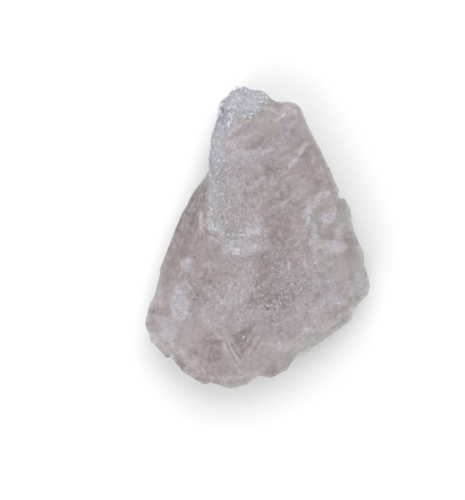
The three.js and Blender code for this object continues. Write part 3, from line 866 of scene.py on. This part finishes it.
# %% Node groups
def new_group(name, inputs, work):
    """A shader node group: numbers for inputs, and an output for each number that work makes of them."""
    group = bpy.data.node_groups.new(name, "ShaderNodeTree")
    for label, value in inputs.items():
        socket = group.interface.new_socket(name=label, in_out="INPUT", socket_type="NodeSocketFloat")
        socket.default_value = value
    source = group.nodes.new("NodeGroupInput").outputs
    results = work(group, *(Value(group, source[label]) for label in inputs))
    for label in results:
        group.interface.new_socket(name=label, in_out="OUTPUT", socket_type="NodeSocketFloat")
    set_inputs(group, group.nodes.new("NodeGroupOutput").inputs, results)
    return group


def place_group(tree, group, **values):
    """The outputs of the group placed as a node in a material, with its own values."""
    node = add_node(tree, "Group", values, node_tree=group)
    return {socket.name: Value(tree, socket) for socket in node.outputs}


def work_veils(group, size, mark, fray):
    """Clouding: noise at two sizes and fine flecks, each from 0 to 1, and the frayed form of a mark."""
    place = millimetres(group)
    cloud = ramp(noise(place, 1.0 / size, 4.0, 0.5, 0.5), (0.36, 0.0), (0.64, 1.0))
    mottle = noise(place, 0.55, 7.0, 0.78, 0.6)
    uneven = mark + (mottle - 0.5) * (4.0 * fray)
    frayed = ramp(uneven, (0.2, 0.0), (1.5, 1.0)) * ramp(mark, (0.0, 0.0), (0.35, 1.0))
    return {"Cloud": cloud, "Mottle": mottle, "Frayed": frayed}


TRACE_DIRECTIONS = {
    "Along": ((0.05, 1.0, 0.6), CLEAVAGE),
    "Across": ((1.0, 0.06, 0.1), CLEAVAGE),
    "Flank": ((0.04, 1.3, 0.6), FLANK),
}


def work_traces(group, spacing, width, cover):
    """Straight traces: noise stretched far along one direction, cut to thin lines shown here and there."""
    results = {}
    steps = 0.0
    for label, (stretch, turn) in TRACE_DIRECTIONS.items():
        long_noise = noise(millimetres(group, stretch, turn), 1.0 / spacing, 1.5)
        shown = noise(millimetres(group, tuple(2.2 * s for s in stretch), turn), 0.13, 3.0)
        shown = ramp(cover - shown, (-0.04, 0.0), (0.1, 1.0))
        results[label] = thin_lines(long_noise, width) * shown
        steps = steps + long_noise
    return {**results, "Steps": steps}


def work_feathers(group, size, width):
    """Feathers: short thin lines in three directions, as the small healed cracks in grainy salt."""
    found = 0.0
    for n, turn in enumerate((0.1, 1.15, 2.2)):
        place = millimetres(group, (0.35, 1.0, 0.5), CLEAVAGE + turn)
        lines = thin_lines(noise(place, 1.0 / size, 1.0, 0.5, 0.7), width)
        found = larger(found, lines * ramp(noise(place, 0.5 + 0.1 * n, 2.0), (0.44, 0.0), (0.54, 1.0)))
    values = {"Vector": millimetres(group, turn=CLEAVAGE), "Scale": 1.1 * (1.0 / size)}
    cell = add_node(group, "TexVoronoi", values, distance="CHEBYCHEV")
    apart = add_node(group, "SeparateColor", {"Color": Value(group, cell.outputs["Color"])})
    return {"Feather": found, "Fleck": Value(group, apart.outputs[0])}


VEILS = new_group("salt veils", {"Size": 6.0, "Mark": 0.0, "Fray": 1.0}, work_veils)
TRACES = new_group("cleavage traces", {"Spacing": 1.0, "Width": 0.03, "Cover": 0.5}, work_traces)
FEATHERS = new_group("feathers", {"Size": 1.0, "Width": 0.05}, work_feathers)
print("groups:", [g.name for g in (VEILS, TRACES, FEATHERS)])

# %% [markdown]
# ## The halite
#
# Halite bends light with an index of 1.544 and is clear as glass when pure. This piece is milky, so
# two thirds of the light pass through and the rest is scattered back. The share that passes is one
# plain number, and so are the index and the absorption. What changes over the surface is its colour
# and its roughness. The colour is built up in layers: broad greenish, lilac, beige and tan tints and
# a painted glow along the rim, which stands in for light through its thin edge and on its shaded
# walls; then depth and mottling, then pale lines and feathers, then frost, and last the white crust.
# Among the depths, pale lines and frost are a few painted glints and the painted light and shade of
# the left flank's crest.

# %% Halite
def srgb(red, green, blue):
    """A colour given as it looks on screen, from 0 to 255, as the linear colour that shaders use."""
    shares = np.array([red, green, blue]) / 255
    linear = np.where(shares <= 0.04045, shares / 12.92, ((shares + 0.055) / 1.055) ** 2.4)
    return (*linear.tolist(), 1.0)


BODY = srgb(217, 197, 200)
GREENISH = srgb(202, 200, 192)
MILK = srgb(231, 222, 221)
WHITE = srgb(246, 244, 253)
CRUST = srgb(235, 235, 245)
CRUST_SHADE = srgb(209, 211, 217)
DEEP = srgb(172, 152, 151)
TAN = srgb(190, 164, 152)
BEIGE = srgb(201, 198, 190)
LILAC = srgb(210, 197, 222)
LINE = srgb(246, 243, 248)
# painted light: a near-white glow along the rim, for light shining through the thin edge and lifting its
# walls out of their shade
PAINTED_RIM_GLOW = srgb(248, 253, 246)
ABSORPTION_COLOUR = srgb(216, 205, 203)
ABSORPTION = 8.0  # per metre
INDEX = 1.544  # how strongly halite bends light
BUMP = 0.6  # strength of the finest relief, which is left to the finish
PASSING = 0.66  # share of the light that passes
SCATTERED = {"Subsurface Weight": 0.6, "Subsurface Radius": (1.0, 1.0, 1.0), "Subsurface Scale": 0.003}
# edge is not a mark on the crystal: it carries the painted glow along the rim
MARKS = KINDS + ("edge",)
UNDERSIDE = 6.0  # mm of height, below which the marks are those of the underside


def halite_material():
    """Milky halite that reads the marks of its piece."""
    material, tree, shader = new_material("milky halite")
    mark = {}
    for kind in MARKS:
        mark[kind] = Value(tree, add_node(tree, "Attribute", {}, attribute_name=kind).outputs["Fac"])
    veils = place_group(tree, VEILS, Size=7.0, Mark=mark["white"], Fray=0.5)
    small_veils = place_group(tree, VEILS, Size=2.2, Mark=mark["grain"], Fray=0.7)
    wide_veils = place_group(tree, VEILS, Size=11.0)
    traces = place_group(tree, TRACES, Spacing=0.8, Width=0.035, Cover=0.54)
    feathers = place_group(tree, FEATHERS, Size=1.3, Width=0.07)
    fine_feathers = place_group(tree, FEATHERS, Size=0.7, Width=0.08)
    thin_cracks = place_group(tree, FEATHERS, Size=0.95, Width=0.06)["Feather"]
    grains = place_group(tree, FEATHERS, Size=1.1)["Fleck"]
    mottle, small_mottle = veils["Mottle"], small_veils["Mottle"]

    lines = 0.22 * traces["Along"] + 0.12 * traces["Across"] + mark["grooved"] * (0.45 * traces["Flank"])
    feathery = 0.8 * mark["grain"] + 0.12 + 0.4 * mark["white"]
    lines = lines + feathery * larger(feathers["Feather"], 0.7 * fine_feathers["Feather"])
    lines = lines + mark["line"] * ramp(small_mottle, (0.35, 0.15), (0.65, 1.0))
    frost = larger(veils["Frayed"], 0.35 * small_veils["Frayed"])
    bare_grain = mark["grain"] * ramp(mark["white"], (0.5, 1.0), (0.85, 0.25))
    crust = blend_colour(ramp(small_mottle, (0.56, 0.0), (0.4, 1.0)), CRUST, CRUST_SHADE)
    layers = (
        (0.7 * veils["Cloud"], MILK),  # milky clouds
        (0.55 * wide_veils["Cloud"], GREENISH),  # broad tints
        (0.7 * mark["beige"], BEIGE),
        (0.6 * mark["lilac"], LILAC),
        # painted light: the glow along the rim, for light through the thin edge and on its shaded walls
        (mark["edge"], PAINTED_RIM_GLOW),
        (0.6 * mark["tan"], TAN),
        (mark["clear"] * ramp(small_mottle, (0.6, 0.25), (0.42, 1.0)), DEEP),  # windows and depths, and painted shade beside the left flank's crest
        (ramp(mottle, (0.5, 0.0), (0.3, 0.7)), DEEP),  # mottling
        (ramp(mottle, (0.5, 0.0), (0.72, 0.6)), MILK),
        (mark["grain"] * ramp(small_mottle, (0.57, 0.0), (0.37, 0.7)), DEEP),  # sugary grain
        (mark["grain"] * ramp(grains, (0.5, 0.0), (1.0, 0.45)), LINE),
        (lines, LINE),  # traces and feathers, with painted glints and painted highlights along the left flank's crest
        # frost, with the two painted glints among the white patches
        (0.8 * frost, WHITE),
        (bare_grain * ramp(grains, (0.4, 0.0), (0.0, 0.35)), DEEP),  # single dark grains
        ((0.42 * bare_grain + 0.03) * thin_cracks, DEEP),
        (mark["crust"], crust),
    )
    colour = BODY
    for share, layer in layers:
        colour = blend_colour(share, colour, layer)

    frost = larger(frost, mark["crust"])
    rough = ramp(frost, (0.0, 0.2), (1.0, 0.6)) - 0.1 * mark["clear"] + 0.1 * mottle
    height = noise(millimetres(tree), 2.6, 4.0, 0.6) * ramp(frost, (0.0, 0.05), (1.0, 0.2))
    cubes = 0.2 * mark["grain"] + 0.12 * mark["crust"]
    height = height + 0.08 * traces["Steps"] + fine_feathers["Fleck"] * cubes
    bump = add_node(tree, "Bump", {"Distance": MM, "Strength": BUMP, "Height": height})
    normal = Value(tree, bump.outputs["Normal"])
    set_inputs(tree, shader, {"Base Color": colour, "Roughness": rough, "Normal": normal, **SCATTERED})
    shader["IOR"].default_value = INDEX
    shader["Transmission Weight"].default_value = PASSING
    depth = add_node(tree, "VolumeAbsorption", {"Color": ABSORPTION_COLOUR, "Density": ABSORPTION})
    tree.links.new(depth.outputs["Volume"], tree.nodes["Material Output"].inputs["Volume"])
    return material


def slab_marks(points):
    """The marks at each vertex; on the underside the same kinds of mark lie in other places."""
    x, y, z = points.T
    below = z < UNDERSIDE
    inset = rim_inset(x, y)
    u, v = np.where(below, 0.8 * x - 4.0, x), np.where(below, 0.9 * y + 6.0, y)
    found = {kind: marks(kind, u, v) for kind in KINDS}
    # edge is painted light: a glow strong within about 2 mm of the outline, fainter out to 5 mm, and half as
    # strong low on the walls
    wide_rim_glow = smooth(5.0, 1.0, inset + 0.9 * soft_noise(x, y, 3.0, 91))
    found["edge"] = (0.3 * wide_rim_glow + 0.7 * smooth(1.8, 0.6, inset)) * mix(0.5, 1.0, smooth(6.0, 14.0, z))
    return found


make_piece("crystal_slab", points, faces, slab_marks(points), halite_material())
print("crystal_slab: marks", MARKS)

# %% [markdown]
# ## Pieces made of boxes
#
# Salt grows in small cubes, so its inclusions and its loose-looking grains are all boxes. A piece is
# one mesh of many of them. Most are small, each is flattened and drawn out a little by chance, and
# they lie along the cleavage or lean off it as far as the piece allows.

# %% Boxes
BOX_CORNERS = np.array([(x, y, z) for z in (-0.5, 0.5) for y in (-0.5, 0.5) for x in (-0.5, 0.5)])
BOX_FACES = np.array([(0, 2, 3, 1), (4, 5, 7, 6), (0, 1, 5, 4), (2, 6, 7, 3), (0, 4, 6, 2), (1, 3, 7, 5)])


def boxes(places, sizes, lean, swing, seed):
    """Boxes at the places in mm, of three sizes each, leaning and swinging off the cleavage by chance."""
    order = np.arange(len(places))
    corners = BOX_CORNERS[None] * sizes[:, None, :]
    tilts = [most * (2 * hashed(order, axis, seed) - 1) for axis, most in enumerate((lean, lean, swing))]
    tilts[2] = tilts[2] + CLEAVAGE + np.pi / 2 * (order % 2)
    for axis, tilt in enumerate(tilts):
        first, second = (axis + 1) % 3, (axis + 2) % 3
        a, b = corners[..., first].copy(), corners[..., second].copy()
        cos, sin = np.cos(tilt)[:, None], np.sin(tilt)[:, None]
        corners[..., first], corners[..., second] = a * cos - b * sin, a * sin + b * cos
    points = (corners + places[:, None, :]).reshape(-1, 3)
    faces = (BOX_FACES[None] + 8 * order[:, None, None]).reshape(-1, 4)
    return points, faces


def box_piece(name, places, small, large, long, flat, lean, swing, seed, material):
    """A piece of boxes at the places, with sides from small to large in mm, some of them drawn out."""
    order = np.arange(len(places))
    side = mix(small, large, hashed(order, 1, seed + 2) ** 3)
    length = side * mix(0.7, 1.6, hashed(order, 2, seed + 2)) * mix(1.0, long, hashed(order, 5, seed))
    sizes = np.stack([length, side, side * flat], axis=-1)
    print(name, "boxes:", len(places))
    make_piece(name, *boxes(places, sizes, lean, swing, seed + 4), {}, material)


def salt_white(name, dark, pale):
    """Opaque white salt whose grey changes slightly from place to place."""
    material, tree, shader = new_material(name)
    grey = noise(millimetres(tree), 0.9)
    colour = blend_colour(ramp(grey, (0.35, 0.0), (0.65, 1.0)), srgb(*dark), srgb(*pale))
    set_inputs(tree, shader, {"Base Color": colour, "Roughness": ramp(grey, (0.3, 0.35), (0.7, 0.6))})
    return material


# %% [markdown]
# ## Inclusions
#
# Salt grows around tiny drops of brine, and the drops are small cubes lined up with the crystal.
# Swarms of them are what makes milky salt milky. Here they are thousands of small boxes in two
# pieces, a haze all through the slab and veils near its face. Both are thick at the white marks and
# thin in the clear windows. Seen through the face, they give the veils a real depth.

# %% Swarms of small boxes
SWARM_GAPS = (0.8, 0.9)  # mm that a swarm keeps below the top and above the foot
SWARM_ROOM = 3.6  # least mm from the rim, and least thickness of the slab there
SWARM_MOST = 15500


def swarm(tries, seed, share_of, density_of):
    """Places where inclusions lie: tries over the crystal's plan, kept by chance where they are dense."""
    order = np.arange(tries)
    x, y = (length * (hashed(order, n + 1, seed) - 0.5) for n, length in enumerate(PLAN))
    inset = rim_inset(x, y)
    top = big_upper(x, y, inset) - SWARM_GAPS[0]
    foot = big_lower(x, y, inset) + SWARM_GAPS[1]
    z = mix(foot, top, share_of(hashed(order, 3, seed)))
    room = np.minimum(inset, top - foot)
    kept = (room > SWARM_ROOM) & (hashed(order, 4, seed) < density_of(x, y))
    return np.stack([x, y, z], axis=-1)[kept][:SWARM_MOST]


def haze_density(x, y):
    """Thin everywhere, thicker in clouds and on the white marks, almost none in the windows."""
    cloud = smooth(-0.25, 0.5, layered_noise(x, y, 9.0, 121) + 0.3 * layered_noise(x, y, 1.6, 123))
    return (0.12 + 0.5 * cloud + 0.3 * marks("white", x, y)) * (1 - 0.9 * marks("clear", x, y))


def veil_density(x, y):
    """On the white marks and the grain, near the face."""
    dense = 0.9 * marks("white", x, y) + 0.35 * marks("grain", x, y)
    return np.clip(dense, 0, 1) * (1 - 0.9 * marks("clear", x, y))


haze_places = swarm(90000, 131, lambda share: share, haze_density)
veil_places = swarm(120000, 141, lambda share: 1 - 0.35 * share**1.5, veil_density)
brine_white = salt_white("brine white", (214, 207, 212), (246, 244, 250))
# name: places, sides from and to in mm, long, flat, lean, swing, seed
SWARMS = {
    "inner_haze": (haze_places, 0.22, 0.9, 1.0, 0.6, 0.35, 0.35, 131),
    "inner_veils": (veil_places, 0.16, 0.75, 1.0, 0.5, 0.35, 0.7, 141),
}
for name, values in SWARMS.items():
    box_piece(name, *values, brine_white)

# %% [markdown]
# ## Salt grown on the outside
#
# The white cap is a crust of small salt cubes that lie every way and have partly run together. Crumbs
# stick to it, teeth stand out from its rim, and a few larger crystals lie on its shore. The sugary
# patches on the face are full of short splinters, most of them flush with the surface, with a few
# glints among them. Thin flakes of frost lie on the white marks, and the slab's upper edge is bruised
# to fine crumbs. All are boxes, set into the slab at places picked from its own surface.

# %% Crust, splinters, frost and bruises
def scattered(density, wanted, seed):
    """Places strewn over the slab: a face is picked by its area and density, then a spot inside it."""
    corners = points[faces]
    area = np.linalg.norm(np.cross(corners[:, 2] - corners[:, 0], corners[:, 3] - corners[:, 1]), axis=1)
    sums = np.cumsum(area * density[faces].mean(axis=1))
    order = np.arange(wanted)
    found = corners[np.searchsorted(sums, hashed(order, 1, seed) * sums[-1])]
    along, across = hashed(order, 2, seed)[:, None], hashed(order, 3, seed)[:, None]
    return mix(mix(found[:, 0], found[:, 1], along), mix(found[:, 3], found[:, 2], along), across)


x, y, z = points.T
inset = rim_inset(x, y)
white, grain, crust = (marks(kind, x, y) for kind in ("white", "grain", "crust"))
on_top = smooth(11.0, 13.0, z)
clumps = smooth(-0.3, 0.5, layered_noise(x, y, 3.4, 167))
spots = smooth(0.0, 0.4, layered_noise(x, y, 1.6, 169))
shore = 4.0 * crust * (1.0 - crust)  # 1 where the crust is half there
crust_cover = 0.25 * crust + 0.6 * crust * smooth(15.0, 12.0, z) + shore
crust_cover *= smooth(1.5, 4.0, z) * mix(0.3, 1.0, smooth(35.0, 38.0, y))
teeth_cover = smooth(1.0, 0.2, inset) * smooth(3.0, 6.0, z) * smooth(-3.0, -6.0, x) * smooth(37.0, 40.0, y)
shore_cover = shore**2 * on_top * smooth(41.0, 39.5, y) * smooth(34.0, 36.5, y) * smooth(3.5, 2.0, x)
sugar_cover = grain * mix(0.3, 1.0, clumps) * on_top * mix(0.4, 1.0, smooth(-10.0, -4.0, y))
frost_cover = smooth(0.4, 1.0, white) ** 2 * mix(0.12, 1.0, spots) * on_top * (1.0 - crust)
edge_cover = smooth(1.2, 0.3, inset) * smooth(3.0, 0.3, big_upper(x, y, inset) - z)
edge_cover *= smooth(0.0, 0.5, layered_noise(x, y, 3.0, 191))
crust_salt = salt_white("crust white", (192, 192, 202), (213, 213, 223))
splinter_white = salt_white("splinter white", (161, 150, 153), (190, 181, 185))
frost_white = salt_white("frost white", (160, 160, 167), (186, 187, 194))
bruise_white = salt_white("bruise white", (160, 160, 158), (184, 185, 182))
shore_salt = salt_white("shore white", (176, 175, 181), (208, 208, 213))
# name: cover, count, sides from and to in mm, long, flat, lean, swing, seed, material
GROWN = {
    "cap_crust": (crust_cover, 2000, 0.1, 0.55, 1.0, 0.8, 0.8, 0.8, 151, crust_salt),
    "cap_teeth": (teeth_cover, 70, 0.35, 1.15, 1.5, 0.7, 0.8, 0.8, 201, crust_salt),
    "cap_shore": (shore_cover, 60, 0.25, 0.7, 1.2, 0.5, 0.5, 0.8, 211, shore_salt),
    "sugar_splinters": (sugar_cover, 4200, 0.06, 0.22, 4.2, 0.6, 0.08, 0.9, 161, splinter_white),
    "glints": (sugar_cover, 90, 0.2, 0.5, 1.6, 0.5, 0.3, 0.9, 221, frost_white),
    "frost_flakes": (frost_cover, 7000, 0.08, 0.28, 1.6, 0.15, 0.1, 1.5, 171, frost_white),
    "bruised_edge": (edge_cover, 2200, 0.06, 0.24, 1.8, 0.5, 0.6, 1.5, 181, bruise_white),
}
for name, (cover, count, *form, seed, material) in GROWN.items():
    box_piece(name, scattered(cover, count, seed), *form, seed, material)
